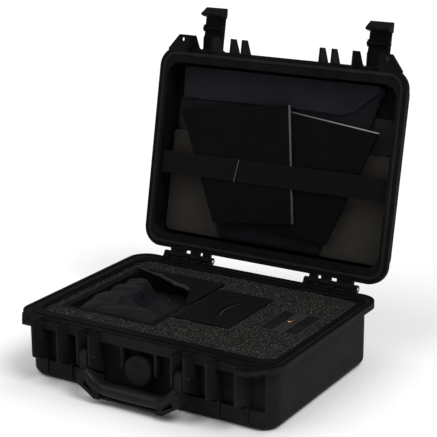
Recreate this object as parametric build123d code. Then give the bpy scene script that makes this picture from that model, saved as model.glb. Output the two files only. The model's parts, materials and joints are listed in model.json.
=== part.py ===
"""Hard transport case, open, packed with a dismantled small fixed-wing drone.

Millimetres. +X is the right side seen from the front, +Y the hinge side, +Z up.
The origin is the centre of the underside of the base. The lid and all that rides on it are
drawn closed, above the base, and swung open about the hinge pins at the end.
"""
from build123d import *
from math import atan, cos, degrees, hypot, radians, sin
import os

# Case: overall plan, heights and walls
case_width = 470.0
case_depth = 350.0
base_height = 108.0
lid_height = 50.0
parting_gap = 0.6
rim_overhang = 12.0
rim_band = 10.5
rim_slope = 6.5
rim_corner = 33.0
body_corner = 30.5
base_bottom_fillet = 14.0
lid_top_fillet = 10.0
wall = 5.0
floor_thickness = 4.0
side_inset = 21.0
base_front_inset = 29.0
base_rear_inset = 19.0
lid_inset = 25.0
lip_height = 6.0
cavity_corner = 24.0
lid_cavity_inset = side_inset - 4.0
lid_panel_insets = (40.0, 62.0)
lid_panel_groove = 7.0
lid_panel_corner = 30.0
lid_panel_depth = 1.4

# Rubber seal in the lid and its seat in the base, measured inwards from the rim's edge
seal_outer = 7.0
seal_inner = 12.0
seal_groove_depth = 2.5
seal_proud = 1.2
seal_seat_depth = 1.8
seal_seat_clearance = 0.5

# Hinge
hinge_y = case_depth / 2 + 11.0
hinge_z = base_height + 2.0
lid_open_angle = 101.4
knuckle_radius = 6.0
hinge_pin_radius = 2.5
running_clearance = 0.08
base_knuckles = [(90.0, 97.0), (112.0, 119.0), (137.0, 148.0), (178.0, 188.0)]
lid_knuckles = [(97.5, 111.5), (119.5, 136.5), (148.5, 177.5)]

# Front ribs, shared by base and lid
rib_reach = 23.5
rib_thickness = 3.6
handle_rib_inner = 74.0
handle_rib_outer = 96.0
latch_rib_inner = 134.0
latch_rib_outer = 182.0
rib_bottom = 48.6
low_rib_proud = 2.5
low_rib_heights = (6.0, 12.0, 36.0, 40.0)
gusset_tip_height = 15.0
gusset_root_height = 40.0
guide_tip_height = 22.0
guide_knee_height = 38.0

# Recesses in the front wall of the base
band_top = 32.0
pocket_top = 90.0
pocket_depth = 9.0
middle_pocket_depth = 5.0
middle_pocket_bottom = 20.0

# Padlock ears
ear_inner = 181.0
ear_tip = 201.0
ear_outer = 222.0
ear_reach = 23.5
ear_thickness = 7.5
padlock_x = 194.3
padlock_reach = 15.3
padlock_radius = 4.0

# Latches, in the closed lid's own directions
latch_x = 158.0
latch_width = 36.0
latch_lip_width = 42.0
latch_pivot_inset = 3.0
latch_pivot_height = 41.5
latch_length = 78.0
latch_plate = 3.6
latch_offset = 3.6
latch_lip_depth = 12.5
latch_bar_distance = 41.5
latch_bar_offset = 1.6
latch_bar_radius = 3.2
latch_notch_depth = 5.8
latch_notch_half_height = 8.0
latch_barrel_radius = 5.0
latch_cheek = 3.0
latch_lug_half = 6.0
latch_lug_drop = 2.2
latch_pin_radius = 2.0

# Carrying handle
handle_pivot_y = -188.0
handle_pivot_z = 69.5
handle_arm_inner = 79.0
handle_arm_outer = 92.0
handle_arm_radius = 11.0
handle_grip_y = -197.0
handle_grip_z = 25.0
handle_grip_radius = 10.5
handle_grip_half = 56.0
handle_core_radius = 5.0
handle_web_thickness = 20.0
handle_rail_low = 10.5
handle_rail_high = 14.0
handle_corner_x = 62.0
handle_corner_slot = [(77.5, 37.5), (60.0, 17.5), (81.5, 28.5)]
handle_rail_setback = 4.0
handle_pin_radius = 2.5

# Purge valve
valve_z = 57.4
valve_recess_radius = 27.0
valve_knob_radius = 23.5
valve_knob_depth = 16.0
valve_stem_radius = 6.0
valve_flange_gap = 0.5
valve_flutes = 24
valve_rib_x = 30.5
valve_rib_thickness = 4.6
valve_rib_bottom = 54.0
valve_recess_depth = 5.5
valve_flute_radius = 1.4

# Foam and the things lying in it: x low, x high, y low, y high
foam_top = 101.0
pouch_bottom_wall = 6.0
pouch_margin = 12.5
body_margin = 46.5
body_top = 62.0
pull_place = (-64.0, 9.0, 95.5)
pull_size = (3.6, 12.0, 1.4)
module_proud = 1.2
module_corner = 7.0
module_cover_thickness = 5.2
module_slot_radius = 64.0
module_slot_width = 11.0
module_slot_half = 31.0
module_slot_depth = 3.5
module_catch_width = 4.0
foam_floor_pad = 12.0
well_gap = 0.5
tray_well = (-202.0, -22.0, -102.0, 118.0)
module_well = (-18.0, 84.0, -54.0, 91.0)
battery_well = (116.0, 188.0, -24.0, 68.0)
battery_width = 21.5
battery_side_wall = 4.0
battery_end_wall = 5.0

# Lid contents: heights measured outwards from the lid's rim
board_height = 32.0
board_thickness = 3.0
bag_thickness = 7.0
flap_thickness = 2.0
wing_thickness = 4.5
wing_left_height = 10.0
wing_right_height = 15.2
spar_radius = 1.2
strap_width = 38.5
strap_height = 8.0
strap_thickness = 1.4
strap_tilt = -0.8
strap_distance = 152.0
strap_fold_end = -66.0

# Wing panels as (x, distance from the lid's rear rim edge): outlines, spars and pale root edges
wing_left_outline = [(-190, 247), (21, 273), (50, 75), (-103, 56)]
wing_right_outline = [(-6, 264.1), (187, 243.5), (113, 50), (-45, 62)]
wing_left_spar = ((25.0, 190.0), (-120.0, 172.0))
wing_right_spar = ((82.0, 246.0), (40.0, 90.0))
wing_left_root = ((21.0, 273.0), (50.0, 75.0))
wing_right_root = ((23.0, 261.0047), (187.0, 243.5))
wing_root_width = 1.8

half_width = case_width / 2
half_depth = case_depth / 2
body_half_width = half_width - rim_overhang
body_half_depth = half_depth - rim_overhang
front_y = -body_half_depth
lid_base_z = base_height + parting_gap
latch_pivot_y = -half_depth + latch_pivot_inset
latch_pivot_z = base_height + latch_pivot_height
module_top = foam_top + module_proud
hinge_axis = Axis((0, hinge_y, hinge_z), (1, 0, 0))
hinge_pin_span = (base_knuckles[0][0], base_knuckles[-1][1])


def block(x_low, x_high, y_low, y_high, z_low, z_high):
    """A box between six planes."""
    corner = Box(x_high - x_low, y_high - y_low, z_high - z_low, align=(Align.MIN, Align.MIN, Align.MIN))
    return Pos(x_low, y_low, z_low) * corner


def rounded_block(x_low, x_high, y_low, y_high, z_low, z_high, radius):
    """A box with rounded upright corners."""
    outline = RectangleRounded(x_high - x_low, y_high - y_low, radius)
    centre = Pos((x_low + x_high) / 2, (y_low + y_high) / 2, z_low)
    return centre * extrude(outline, z_high - z_low)


def x_plate(profile, x_low, x_high):
    """A plate square to X from a list of (y, z) points."""
    outline = Polyline(*[(0, y, z) for y, z in profile], close=True)
    face = make_face(outline)
    return Pos(x_low, 0, 0) * extrude(face, x_high - x_low, dir=(1, 0, 0))


def x_rod(radius, x_low, x_high, y, z):
    """A round bar along X."""
    return Pos((x_low + x_high) / 2, y, z) * Rot(0, 90, 0) * Cylinder(radius, x_high - x_low)


def y_rod(radius, y_low, y_high, x, z):
    """A round bar along Y."""
    return Pos(x, (y_low + y_high) / 2, z) * Rot(90, 0, 0) * Cylinder(radius, y_high - y_low)


def flat_plate(points, z_low, z_high, radius=0.0):
    """A plate lying flat, with an outline of (x, y) points and an optional corner radius."""
    face = make_face(Polyline(*points, close=True))
    if radius:
        face = fillet(face.vertices(), radius)
    return Pos(0, 0, z_low) * extrude(face, z_high - z_low)


def lid_plate(points, low, high, radius=0.0):
    """A plate in the lid, with points as (x, distance from the lid's rear rim edge)."""
    outline = [(x, half_depth - distance) for x, distance in points]
    return flat_plate(outline, base_height + low, base_height + high, radius)


def both_sides(shape):
    """A shape and its mirror image across the case's middle."""
    return shape + mirror(shape, about=Plane.YZ)


def swing_open(shape):
    """Turn a shape drawn on the closed lid to where the open lid stands."""
    return shape.rotate(hinge_axis, -lid_open_angle)


def rim(z_low, z_high, slope_down):
    """The thick rim band with the slope that joins it to the walls."""
    band = rounded_block(-half_width, half_width, -half_depth, half_depth, z_low, z_high, rim_corner)
    outline = RectangleRounded(case_width, case_depth, rim_corner)
    taper = degrees(atan(rim_overhang / rim_slope))
    if slope_down:
        slope = Pos(0, 0, z_low) * extrude(outline, rim_slope, dir=(0, 0, -1), taper=taper)
    else:
        slope = Pos(0, 0, z_high) * extrude(outline, rim_slope, taper=taper)
    return band + slope


def rim_block(inset, z_low, z_high, radius):
    """A block with the rim's outline drawn in by an inset."""
    return rounded_block(-half_width + inset, half_width - inset, -half_depth + inset, half_depth - inset,
                         z_low, z_high, radius)


def rim_ring(outer, inner, z_low, z_high):
    """A ring that follows the rim between two distances inside its edge."""
    outer_block = rim_block(outer, z_low, z_high, rim_corner - outer)
    return outer_block - rim_block(inner, z_low, z_high, rim_corner - inner)


def padlock_ear(z_low, z_high):
    """One right-hand ear with its hole."""
    front = -half_depth - ear_reach
    outline = [
        (ear_inner, -half_depth + 8),
        (ear_inner, front),
        (ear_tip, front),
        (ear_outer, -half_depth + 3),
        (ear_outer - 8, -half_depth + 14),
    ]
    ear = flat_plate(outline, z_low, z_high, 3.0)
    hole_y = -half_depth - padlock_reach
    hole = Pos(padlock_x, hole_y, (z_low + z_high) / 2) * Cylinder(padlock_radius, 4 * (z_high - z_low))
    return ear, hole


def latch_notch():
    """Right-hand notch in both rims that the latch's cross bar closes into."""
    middle = latch_pivot_z - latch_bar_distance
    return block(latch_rib_inner + 1, latch_rib_outer - 1, -half_depth - 1, -half_depth + latch_notch_depth,
                 middle - latch_notch_half_height, middle + latch_notch_half_height)


def rib(x, profile):
    """One thin rib centred on x."""
    return x_plate(profile, x - rib_thickness / 2, x + rib_thickness / 2)


def knuckles(spans, bore_radius, arm_profile):
    """Right-hand hinge knuckles with their arms, bored for the pin."""
    shape = Part()
    for x_low, x_high in spans:
        shape += x_rod(knuckle_radius, x_low, x_high, hinge_y, hinge_z)
        shape += x_plate(arm_profile, x_low, x_high)
    return shape - x_rod(bore_radius, spans[0][0] - 1, spans[-1][1] + 1, hinge_y, hinge_z)


def make_base_shell():
    """Base tub: rim, recessed front, ribs, ears, hinge knuckles and the bore for the valve."""
    body = rounded_block(-body_half_width, body_half_width, front_y, body_half_depth,
                         0, base_height - rim_band, body_corner)
    body = fillet(body.edges().group_by(Axis.Z)[0], base_bottom_fillet)
    body += rim(base_height - rim_band, base_height, True)
    body += block(-205, 205, -half_depth, front_y + 1, pocket_top, base_height - rim_band)

    pocket_back = front_y + pocket_depth
    pockets = [
        (latch_rib_outer, body_half_width - body_corner + 16),
        (latch_rib_inner, latch_rib_outer),
        (handle_rib_outer, latch_rib_inner),
        (handle_rib_inner, handle_rib_outer),
    ]
    for x_low, x_high in pockets:
        pocket = block(x_low, x_high, front_y - 1, pocket_back, band_top, pocket_top)
        body -= both_sides(pocket)
    body -= block(-handle_rib_inner, handle_rib_inner, front_y - 1, front_y + middle_pocket_depth,
                  middle_pocket_bottom, pocket_top)
    valve_rib = [(front_y + 6, valve_rib_bottom - 8), (-half_depth, valve_rib_bottom),
                 (-half_depth, pocket_top + 1), (front_y + 6, pocket_top + 1)]
    body += both_sides(x_plate(valve_rib, valve_rib_x - valve_rib_thickness / 2,
                               valve_rib_x + valve_rib_thickness / 2))
    body -= y_rod(valve_recess_radius, front_y, front_y + valve_recess_depth, 0, valve_z)

    inner_front = -half_depth + base_front_inset
    inner_rear = half_depth - base_rear_inset
    inner_side = half_width - side_inset
    wide_side = body_half_width - wall
    hollow = rounded_block(-wide_side, wide_side, inner_front - 3, body_half_depth - wall,
                           floor_thickness, base_height - lip_height, cavity_corner)
    body -= fillet(hollow.edges().group_by(Axis.Z)[0], base_bottom_fillet - floor_thickness)
    body -= rounded_block(-inner_side, inner_side, inner_front, inner_rear,
                          base_height - lip_height - 1, base_height + 1, cavity_corner)
    reach = -half_depth - rib_reach
    root = pocket_back + 1
    tall = [(root, 36), (reach + 2, rib_bottom), (reach, rib_bottom + 3), (reach, base_height - 2),
            (reach + 2, base_height), (-half_depth + 1, base_height), (root, base_height - 8)]
    short = [(root, band_top - 2), (reach + 2, rib_bottom + 6), (reach, rib_bottom + 9),
             (reach, base_height - 2), (reach + 2, base_height), (-half_depth + 1, base_height),
             (root, base_height - 8)]
    low_reaches = (front_y + 3, front_y - low_rib_proud, front_y - low_rib_proud, front_y + 3)
    low = list(zip(low_reaches, low_rib_heights))
    ribs = rib(latch_rib_inner, tall) + rib(latch_rib_outer, tall)
    ribs += rib(handle_rib_inner, short) + rib(handle_rib_outer, short)
    ribs += rib(latch_rib_inner, low) + rib(latch_rib_outer, low)
    ribs -= x_rod(handle_pin_radius, 0, latch_rib_inner - 10, handle_pivot_y, handle_pivot_z)
    body += both_sides(ribs)

    ear, ear_hole = padlock_ear(base_height - ear_thickness, base_height)
    body += both_sides(ear)
    body -= both_sides(ear_hole)
    body -= both_sides(latch_notch())
    body -= rim_ring(seal_outer - seal_seat_clearance, seal_inner + seal_seat_clearance,
                     base_height - seal_seat_depth, base_height + 1)
    arm = [(half_depth - 3, base_height - 14), (half_depth - 3, base_height - 2),
           (half_depth + 1, base_height - 1), (hinge_y, hinge_z + 5), (hinge_y + 5, hinge_z - 3)]
    body += both_sides(knuckles(base_knuckles, hinge_pin_radius, arm))
    body -= y_rod(valve_stem_radius + 4, front_y - 2, inner_front, 0, valve_z)
    return body


def make_lid_shell():
    """Lid, drawn closed: rim, hollow, ribs, latch guides, ears and hinge knuckles."""
    top = base_height + lid_height
    body = rounded_block(-body_half_width, body_half_width, front_y, body_half_depth,
                         lid_base_z + rim_band - 1, top, body_corner)
    body = fillet(body.edges().group_by(Axis.Z)[-1], lid_top_fillet)
    body += rim(lid_base_z, lid_base_z + rim_band - parting_gap, False)
    wide_side = body_half_width - wall
    wide_depth = body_half_depth - wall
    hollow = rounded_block(-wide_side, wide_side, -wide_depth, wide_depth,
                           lid_base_z + lip_height, top - floor_thickness, cavity_corner)
    body -= fillet(hollow.edges().group_by(Axis.Z)[-1], lid_top_fillet - 4)
    for inset in lid_panel_insets:
        radius = lid_panel_corner - inset / 4
        outer = rim_block(inset, top - lid_panel_depth, top + 1, radius)
        inner = rim_block(inset + lid_panel_groove, top - lid_panel_depth, top + 1, radius - lid_panel_groove / 2)
        body -= outer - inner
    inner_side = half_width - lid_cavity_inset
    inner_depth = half_depth - lid_inset
    body -= rounded_block(-inner_side, inner_side, -inner_depth, inner_depth,
                          lid_base_z - 1, lid_base_z + lip_height + 1, cavity_corner)
    reach = -half_depth - rib_reach
    root = front_y + 1
    gusset = [(root, lid_base_z), (reach, lid_base_z), (reach, lid_base_z + gusset_tip_height),
              (root, lid_base_z + gusset_root_height)]
    guide = [(root, lid_base_z), (reach, lid_base_z), (reach, lid_base_z + guide_tip_height),
             (-half_depth - 2.5, lid_base_z + guide_knee_height), (latch_pivot_y - 4, latch_pivot_z + 2),
             (latch_pivot_y - 2, latch_pivot_z + 4), (root, latch_pivot_z + 4)]
    guides = rib(latch_rib_inner, guide) + rib(latch_rib_outer, guide)
    guides -= x_rod(latch_pin_radius, latch_rib_inner - 5, latch_rib_outer + 5, latch_pivot_y, latch_pivot_z)
    ribs = rib(handle_rib_inner, gusset) + rib(handle_rib_outer, gusset) + guides
    body += both_sides(ribs)

    ear, ear_hole = padlock_ear(lid_base_z, lid_base_z + ear_thickness)
    body += both_sides(ear)
    body -= both_sides(ear_hole)
    body -= both_sides(latch_notch())
    body -= rim_ring(seal_outer, seal_inner, lid_base_z - 1, lid_base_z + seal_groove_depth)
    arm = [(half_depth - 3, lid_base_z + 0.4), (hinge_y, lid_base_z + 0.4), (hinge_y, hinge_z + knuckle_radius),
           (half_depth - 3, lid_base_z + rim_band - 1)]
    body += both_sides(knuckles(lid_knuckles, hinge_pin_radius + running_clearance, arm))
    return body


def make_lid_seal():
    """Rubber ring in the lid's groove, standing a little out of it."""
    return rim_ring(seal_outer, seal_inner, lid_base_z - seal_proud, lid_base_z + seal_groove_depth)


def make_latch_lever():
    """Right-hand latch, drawn open: it points forwards from its pivot on the closed lid."""
    x_low = latch_x - latch_width / 2
    x_high = latch_x + latch_width / 2
    low = latch_pivot_z + latch_offset
    top = low + latch_plate
    tip = latch_pivot_y - latch_length
    lever = block(x_low, x_high, tip + 12, latch_pivot_y + 3, low, top)
    lever += x_rod(latch_barrel_radius, x_low, x_high, latch_pivot_y, latch_pivot_z)
    lever += block(x_low, x_high, latch_pivot_y - 4, latch_pivot_y + 4, latch_pivot_z, top)
    for x in (x_low - latch_cheek / 2, x_high - latch_cheek / 2):
        cheek = [(latch_pivot_y + 3, top), (latch_pivot_y + 3, low), (latch_pivot_y - 24, low - 3),
                 (latch_pivot_y - 30, low), (tip + 17, low), (tip + 17, top)]
        lever += x_plate(cheek, x, x + latch_cheek)
        bar_y = latch_pivot_y - latch_bar_distance
        lever += block(x, x + latch_cheek, bar_y - latch_lug_half, bar_y + latch_lug_half,
                       latch_pivot_z - latch_lug_drop, top)
    lip = latch_pivot_z - latch_lip_depth
    hook = [(tip + 17, top + 0.6), (tip + 2, top), (tip, top - 2), (tip + 11.5, lip),
            (tip + 14.5, lip + 0.5), (tip + 16, latch_pivot_z - 6), (tip + 17, low)]
    lip_low = latch_x - latch_lip_width / 2
    lip_high = latch_x + latch_lip_width / 2
    lever += x_plate(hook, lip_low, lip_high)
    lever -= x_rod(latch_pin_radius + running_clearance, x_low - 3, x_high + 3, latch_pivot_y, latch_pivot_z)
    return lever - x_rod(latch_bar_radius, x_low - 3, x_high + 3, latch_pivot_y - latch_bar_distance,
                         latch_pivot_z + latch_bar_offset)


def make_latch_bar():
    """Right-hand cross bar through the latch's cheeks."""
    return x_rod(latch_bar_radius, latch_x - latch_lip_width / 2, latch_x + latch_lip_width / 2,
                 latch_pivot_y - latch_bar_distance, latch_pivot_z + latch_bar_offset)


def make_latch_pin():
    """Right-hand steel pin that the latch turns on, held in the lid's two guides."""
    edge = rib_thickness / 2
    return x_rod(latch_pin_radius, latch_rib_inner - edge, latch_rib_outer + edge,
                 latch_pivot_y, latch_pivot_z)


def make_handle_frame():
    """Handle, hanging: two arms, slotted corners, the bottom rail and the core of the grip."""
    eye = handle_arm_radius
    arm = block(handle_arm_inner, handle_arm_outer, handle_pivot_y - eye, handle_pivot_y + eye - 4,
                34, handle_pivot_z)
    arm += x_rod(eye, handle_arm_inner, handle_arm_outer, handle_pivot_y, handle_pivot_z)
    corner = Polyline(
        (handle_arm_inner - 3, 0, 49), (handle_arm_outer, 0, 49), (handle_arm_outer, 0, 30),
        (handle_corner_x, 0, handle_rail_low), (0, 0, handle_rail_low), (0, 0, handle_rail_high),
        (handle_grip_half - 4, 0, handle_rail_high), (handle_grip_half - 4, 0, handle_grip_z + 9),
        (handle_corner_x, 0, handle_grip_z + 11), close=True)
    slot = Polyline(*[(x, 0, z) for x, z in handle_corner_slot], close=True)
    web = extrude(make_face(corner) - make_face(slot), handle_web_thickness, dir=(0, -1, 0))
    arm += Pos(0, handle_grip_y + handle_web_thickness / 2, 0) * web
    frame = both_sides(arm)
    rail_half = handle_grip_half - 4
    rail_front = handle_grip_y - handle_web_thickness / 2
    frame -= block(-rail_half, rail_half, rail_front - 1, rail_front + handle_rail_setback,
                   handle_rail_low - 1, handle_rail_high + 1)
    core_half = handle_grip_half - 3
    frame += x_rod(handle_core_radius, -core_half, core_half, handle_grip_y, handle_grip_z)
    return frame - x_rod(handle_pin_radius + running_clearance, -100, 100, handle_pivot_y, handle_pivot_z)


def make_handle_grip():
    """Soft sleeve round the core of the handle."""
    half = handle_grip_half - 4
    sleeve = x_rod(handle_grip_radius, -half, half, handle_grip_y, handle_grip_z)
    return sleeve - x_rod(handle_core_radius, -half, half, handle_grip_y, handle_grip_z)


def make_handle_pin():
    """Right-hand handle pin with a head each side of its bracket."""
    low = handle_rib_inner - rib_thickness / 2
    high = handle_rib_outer + rib_thickness / 2
    pin = x_rod(handle_pin_radius, low, high, handle_pivot_y, handle_pivot_z)
    pin += x_rod(handle_pin_radius + 1.0, low - 1.2, low, handle_pivot_y, handle_pivot_z)
    return pin + x_rod(handle_pin_radius + 1.0, high, high + 1.2, handle_pivot_y, handle_pivot_z)


def valve_seal_ring():
    """Square-section ring let into the face of the valve seat."""
    front = front_y + valve_flange_gap - 0.2
    ring = y_rod(valve_stem_radius + 6.5, front, front + 1.2, 0, valve_z)
    return ring - y_rod(valve_stem_radius + 4.5, front - 1, front + 2, 0, valve_z)


def make_valve_seat():
    """Threaded seat of the purge valve, in the wall."""
    back = -half_depth + base_front_inset - 3
    recess_floor = front_y + valve_recess_depth
    seat = y_rod(valve_stem_radius + 4, recess_floor, back, 0, valve_z)
    seat += y_rod(valve_stem_radius + 9, front_y + valve_flange_gap, recess_floor, 0, valve_z)
    seat -= y_rod(valve_stem_radius + running_clearance, front_y, back + 1, 0, valve_z)
    return seat - valve_seal_ring()


def make_valve_knob():
    """Fluted knob with its stem."""
    front = front_y - valve_knob_depth
    knob = y_rod(valve_knob_radius, front, front_y, 0, valve_z)
    knob = fillet(knob.edges().group_by(Axis.Y)[0], 2.0)
    for index in range(valve_flutes):
        angle = radians(360 / valve_flutes * index)
        x = (valve_knob_radius + 0.4) * cos(angle)
        z = valve_z + (valve_knob_radius + 0.4) * sin(angle)
        knob -= y_rod(valve_flute_radius, front - 1, front_y + 1, x, z)
    return knob + y_rod(valve_stem_radius, front_y, front_y + 12, 0, valve_z)


def well(bounds, z_low, z_high, inset, radius=4.0):
    """A block that fills a foam well, less an inset on each side."""
    x_low, x_high, y_low, y_high = bounds
    return rounded_block(x_low + inset, x_high - inset, y_low + inset, y_high - inset,
                         z_low, z_high, radius)


def make_base_foam():
    """Diced foam block with three wells cut to its floor pad."""
    side = body_half_width - wall - 1
    front = -half_depth + base_front_inset - 2
    rear = body_half_depth - wall - 1
    low = floor_thickness + foam_floor_pad
    foam = rounded_block(-side, side, front, rear, low, foam_top, cavity_corner - 1)
    for bounds in (tray_well, module_well, battery_well):
        foam -= well(bounds, low - 1, foam_top + 1, 0, 4.5)
    return foam


def make_floor_pad():
    """Uncut foam sheet under everything."""
    side = body_half_width - wall - 12
    return rounded_block(-side, side, -half_depth + base_front_inset + 8, body_half_depth - wall - 12,
                         floor_thickness, floor_thickness + foam_floor_pad, cavity_corner - 6)


def make_tray():
    """Open padded tray that fills the left well."""
    low = floor_thickness + foam_floor_pad
    tray = well(tray_well, low, foam_top, well_gap)
    return tray - well(tray_well, low + 6, foam_top + 1, 12, 6.0)


def make_tray_flap():
    """Stiff rear flap of the tray, folded back over its rear edge."""
    x_low, x_high, _, y_high = tray_well
    edge = 1.0
    outline = [(x_low + edge, y_high - edge), (x_high - edge, y_high - edge), (x_high - edge, y_high - 118),
               (x_high - 34, y_high - 64), (x_low + 51, y_high - 35)]
    return flat_plate(outline, foam_top, foam_top + 1.6, 0.6)


def make_pouch():
    """Soft pouch that fills the tray, hollow where the drone's body lies and where the pull hangs."""
    low = floor_thickness + foam_floor_pad + pouch_bottom_wall
    pouch = well(tray_well, low, foam_top - 0.5, pouch_margin, 6.0)
    pouch -= well(tray_well, low + 2, body_top + 0.5, body_margin - 0.5, 10.0)
    x, y, z = pull_place
    return pouch - block(x - 5, x + 5, y - 5, y + 5, z - 7, foam_top)


def make_fuselage():
    """Drone body inside the pouch."""
    low = floor_thickness + foam_floor_pad + pouch_bottom_wall
    return well(tray_well, low + 2.5, body_top, body_margin, 9.5)


def make_module_case():
    """Flat box of the ground unit."""
    low = floor_thickness + foam_floor_pad
    return well(module_well, low, module_top - module_cover_thickness, well_gap, module_corner)


def finger_slot(z_low, z_high, width):
    """Curved finger slot, bowed towards the left, as an arc-shaped pocket."""
    x_low, x_high, y_low, y_high = module_well
    middle = (y_low + y_high) / 2
    centre = Pos((x_low + x_high) / 2 + module_slot_radius - 2, middle, z_low)
    upwards = (Align.CENTER, Align.CENTER, Align.MIN)
    outer = centre * Cylinder(module_slot_radius, z_high - z_low, align=upwards)
    inner = centre * Cylinder(module_slot_radius - width, z_high - z_low, align=upwards)
    window = block(x_low, x_high, middle - module_slot_half, middle + module_slot_half, z_low, z_high)
    return (outer - inner) & window


def make_module_cover():
    """Cover of the ground unit with its finger slot and screw recesses."""
    cover = well(module_well, module_top - module_cover_thickness, module_top, well_gap, module_corner)
    cover -= finger_slot(module_top - module_slot_depth, module_top + 1, module_slot_width)
    for x, y in module_screw_places():
        cover -= Pos(x, y, module_top) * Cylinder(2.6, 3)
    return cover


def module_screw_places():
    """Centres of the four cover screws."""
    x_low, x_high, y_low, y_high = module_well
    return [(x, y) for x in (x_low + 9, x_high - 9) for y in (y_low + 9, y_high - 9)]


def make_module_screws():
    """Four cover screws as one group."""
    screws = [Pos(x, y, module_top - 1.1) * Cylinder(2.4, 0.8) for x, y in module_screw_places()]
    return Compound(children=screws)


def make_finger_catch():
    """Bright spring catch lying in the finger slot."""
    catch = finger_slot(module_top - module_slot_depth, module_top - 1.6, module_catch_width)
    return catch.move(Location((module_slot_width - module_catch_width - 3.0, 0, 0)))


def battery_bounds():
    """The two packs' footprints, side by side in their well."""
    x_low, x_high, y_low, y_high = battery_well
    front = y_low + battery_end_wall
    rear = y_high - battery_end_wall
    left = (x_low + battery_side_wall, x_low + battery_side_wall + battery_width, front, rear)
    right = (x_high - battery_side_wall - battery_width, x_high - battery_side_wall, front, rear)
    return left, right


def make_battery(bounds):
    """One flat battery pack."""
    pack = well(bounds, floor_thickness + foam_floor_pad, foam_top - 3, 0, 3.0)
    return fillet(pack.edges().group_by(Axis.Z)[-1], 1.5)


def make_battery_divider():
    """Pale foam liner round and between the packs."""
    low = floor_thickness + foam_floor_pad
    liner = well(battery_well, low, foam_top - 1.5, well_gap, 4.0)
    for bounds in battery_bounds():
        liner -= well(bounds, low - 1, foam_top, -0.2, 3.0)
    return liner


def make_connector():
    """Gold-coloured plug standing on the divider."""
    left, right = battery_bounds()
    x = (left[1] + right[0]) / 2
    y = (left[2] + left[3]) / 2 + 2
    plug = block(x - 2.6, x + 2.6, y - 6, y + 6, foam_top - 1.5, foam_top + 1.5)
    return fillet(plug.edges().group_by(Axis.Z)[-1], 1.0)


def make_zip_pull():
    """Metal pull that stands in a fold of the pouch."""
    width, height, thickness = pull_size
    pull = extrude(RectangleRounded(width, height, width / 2 - 0.1), thickness)
    pull -= Pos(0, height / 2 - width / 2, 0) * Cylinder(width / 4, 4 * thickness)
    return Pos(*pull_place) * Rot(0, 0, 30) * Rot(90, 0, 0) * pull


def make_lid_foam():
    """Foam sheet behind the boards."""
    side = body_half_width - wall - 8
    depth = body_half_depth - wall - 8
    return rounded_block(-side, side, -depth, depth, base_height + board_height + board_thickness,
                         base_height + lid_height - floor_thickness, cavity_corner - 7)


def make_board(half, low, high):
    """One backing board, a plain sheet with rounded corners."""
    outline = [(-half, low), (half, low), (half, high), (-half, high)]
    return lid_plate(outline, board_height, board_height + board_thickness, 8.0)


def make_fabric_bag():
    """Flat tapering fabric bag in front of the boards."""
    outline = [(-102, 27), (98, 27), (190, 322), (-201, 322)]
    return lid_plate(outline, board_height - bag_thickness, board_height, 6.0)


def make_bag_flap():
    """Flap folded down over the top of the bag."""
    outline = [(-195, 268), (128, 268), (188, 320), (-197, 320)]
    high = board_height - bag_thickness
    return lid_plate(outline, high - flap_thickness, high, 5.0)


def strip(ends, width, low, high):
    """A straight strip in the lid between two points, starting on their line."""
    (x_a, d_a), (x_b, d_b) = ends
    length = hypot(x_b - x_a, d_b - d_a)
    side_x = (d_b - d_a) / length * width
    side_d = -(x_b - x_a) / length * width
    outline = [(x_a, d_a), (x_b, d_b), (x_b + side_x, d_b + side_d), (x_a + side_x, d_a + side_d)]
    return lid_plate(outline, low, high)


def lid_rod(ends, radius, height):
    """A round bar lying in the lid between two points."""
    (x_a, d_a), (x_b, d_b) = ends
    start = Vector(x_a, half_depth - d_a, base_height + height)
    finish = Vector(x_b, half_depth - d_b, base_height + height)
    plane = Plane(origin=start, z_dir=finish - start)
    return plane * Cylinder(radius, (finish - start).length, align=(Align.CENTER, Align.CENTER, Align.MIN))


def make_wing(outline, height, spar):
    """One wing panel, lying flat, hollowed for its spar."""
    panel = lid_plate(outline, height, height + wing_thickness, 3.0)
    return panel - lid_rod(spar, spar_radius, height + wing_thickness / 2)


def strap_piece(x_low, x_high, low, high):
    """A length of the strap, tilted slightly across the lid."""
    piece = block(x_low, x_high, -strap_width / 2, strap_width / 2, base_height + low, base_height + high)
    return Pos(0, half_depth - strap_distance, 0) * Rot(0, 0, strap_tilt) * piece


def anchor_plate():
    """Right-hand plate that holds the strap's end to the lid's wall."""
    side = body_half_width - wall
    centre = half_depth - strap_distance
    return block(side - 2.0, side, centre - 22, centre + 22, base_height + 6.8, base_height + 20)


def anchor_screws():
    """Right-hand pair of screw heads on the anchor plate."""
    side = body_half_width - wall - 2.0
    centre = half_depth - strap_distance
    return [x_rod(2.2, side - 1.2, side, centre + offset, base_height + 15) for offset in (-14, 14)]


def mirrored(shape):
    """The left-hand copy of a right-hand piece."""
    return mirror(shape, about=Plane.YZ)


latch_lever = make_latch_lever()
latch_bar = make_latch_bar()
latch_pin = make_latch_pin()
handle_pin = make_handle_pin()
hinge_pin = x_rod(hinge_pin_radius, hinge_pin_span[0], hinge_pin_span[1], hinge_y, hinge_z)
battery_left, battery_right = battery_bounds()
right_screws = anchor_screws()
strap_end = body_half_width - wall - 2.4

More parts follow.
